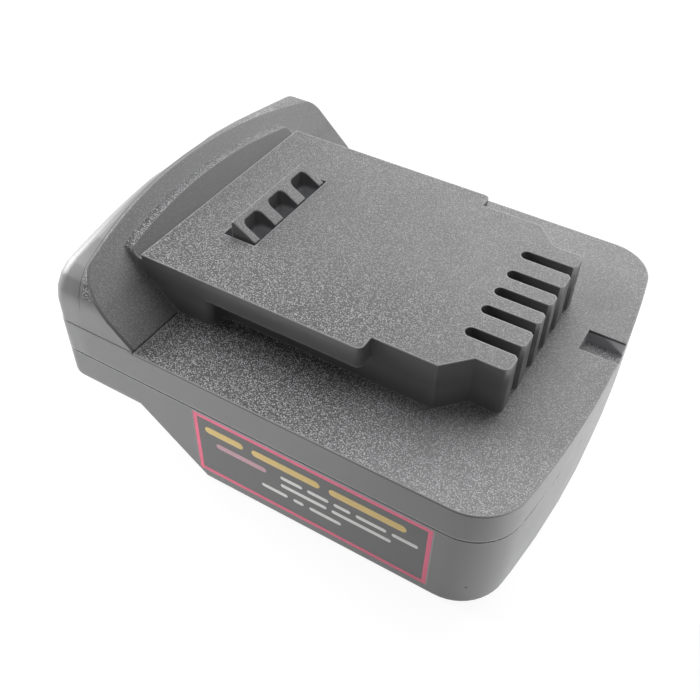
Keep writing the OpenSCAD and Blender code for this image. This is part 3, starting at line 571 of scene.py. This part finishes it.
def slab(bm, corners, y_back, y_front):
    """A thin plate between two planes of constant y, over a loop of x and z corners."""
    back = [bm.verts.new((x, y_back, z)) for x, z in corners]
    front = [bm.verts.new((x, y_front, z)) for x, z in corners]
    bm.faces.new(back)
    bm.faces.new(front)
    for i in range(len(corners)):
        j = (i + 1) % len(corners)
        bm.faces.new((back[i], back[j], front[j], front[i]))


def stadium(x0, x1, z0, z1, steps=6):
    """Corners of a bar with round ends."""
    r = (z1 - z0) / 2
    middle = (z0 + z1) / 2
    corners = []
    for x, start in ((x1 - r, -90), (x0 + r, 90)):
        angles = [math.radians(start + 180 * k / steps) for k in range(steps + 1)]
        corners += [(x + r * math.cos(a), middle + r * math.sin(a)) for a in angles]
    return corners


def rectangle(low, high, inset):
    """Corners of a box's near face, drawn in by an inset."""
    x0, x1 = low.x + inset, high.x - inset
    z0, z1 = low.z + inset, high.z - inset
    return [(x0, z0), (x1, z0), (x1, z1), (x0, z1)]


def border_strips(bm, low, high):
    outer = rectangle(low, high, 0.0)
    inner = rectangle(low, high, LABEL_BORDER)
    for i in range(4):
        j = (i + 1) % 4
        slab(bm, [outer[i], outer[j], inner[j], inner[i]], low.y, low.y - INK_DEPTH)
    bmesh.ops.remove_doubles(bm, verts=bm.verts, dist=0.001 * MM)


def ink_bars(bm, low, high, rows):
    for start, drop, height, lengths, gap in rows:
        x = low.x + start * MM
        z = high.z - drop * MM
        for length in lengths:
            slab(bm, stadium(x, x + length * MM, z - height * MM, z), low.y, low.y - INK_DEPTH)
            x += (length + gap) * MM


def label_print():
    """The label's border and plain bars of ink where it was printed."""
    low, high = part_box("rating_label")
    strips = partial(border_strips, low=low, high=high)
    mesh_piece("label_border", strips, film("label_pink", LABEL_PINK), HOUSING, smooth=False)
    for name, (colour, rows) in LABEL_ROWS.items():
        bars = partial(ink_bars, low=low, high=high, rows=rows)
        mesh_piece(name, bars, film(name + "_ink", colour), HOUSING, smooth=False)


# Floor, light and camera


def floor():
    """A wide white floor that the camera sees as white, apart from the shadow on it."""
    material = bpy.data.materials.new("white_floor")
    material.use_nodes = True
    nodes = material.node_tree.nodes
    nodes.remove(nodes["Principled BSDF"])
    paper = add(material, "BsdfDiffuse", Color=FLOOR_PAPER)
    shadow = add(material, "BsdfDiffuse", Color=FLOOR_SHADOW)
    glow = add(material, "Emission", Strength=FLOOR_GLOW)
    both = add(material, "AddShader")
    plug(material, both.inputs[0], shadow.outputs[0])
    plug(material, both.inputs[1], glow.outputs[0])
    pick = add(material, "MixShader", Fac=seen_rays(material))
    plug(material, pick.inputs[1], paper.outputs[0])
    plug(material, pick.inputs[2], both.outputs[0])
    fill(material, nodes["Material Output"], Surface=pick.outputs[0])
    plane = partial(bmesh.ops.create_grid, x_segments=1, y_segments=1, size=FLOOR_HALF)
    piece = mesh_object("floor", plane, material, smooth=False)
    piece.location.z = -FLOOR_DROP


def soft_box(name, place, target, size, power):
    """An area light that the camera doesn't see, turned toward a target."""
    lamp = bpy.data.lights.new(name, "AREA")
    lamp.shape = "RECTANGLE"
    lamp.size, lamp.size_y = size
    lamp.energy = power
    piece = bpy.data.objects.new(name, lamp)
    piece.location = place
    piece.rotation_euler = (Vector(target) - Vector(place)).to_track_quat("-Z", "Y").to_euler()
    piece.visible_camera = False
    bpy.context.scene.collection.objects.link(piece)


def light():
    """A world that is seen as white but lights little, and the soft boxes."""
    world = bpy.data.worlds.new("studio")
    bpy.context.scene.world = world
    world.use_nodes = True
    fill(world, world.node_tree.nodes["Background"], Color=WHITE,
         Strength=largest(world, seen_rays(world), AMBIENT))
    for name, (place, target, size, power) in SOFT_BOXES.items():
        soft_box(name, place, target, size, power)


def camera():
    """The photograph's camera: where it stood, where it looked, its roll and its lens."""
    place = Vector((58.95, -112.65, 135.26)) * MM
    target = Vector((4.84, -17.29, 26.5)) * MM
    roll = math.radians(1.8)
    image_width = 700
    focal_pixels = 863.1
    data = bpy.data.cameras.new("photo_camera")
    data.sensor_width = 36.0
    data.lens = focal_pixels * data.sensor_width / image_width
    data.clip_start = 1 * MM
    data.clip_end = 20.0
    piece = bpy.data.objects.new("photo_camera", data)
    turn = (target - place).to_track_quat("-Z", "Y").to_matrix() @ Matrix.Rotation(roll, 3, "Z")
    piece.matrix_world = Matrix.Translation(place) @ turn.to_4x4()
    bpy.context.scene.collection.objects.link(piece)
    bpy.context.scene.camera = piece


camera()
zinc_steel = metal("zinc_steel", STEEL, rough=0.28, brushed=0.10)
dress_nodes(zinc_steel)
springs(zinc_steel)
label_print()
floor()
light()
bpy.context.scene.view_settings.view_transform = "Standard"
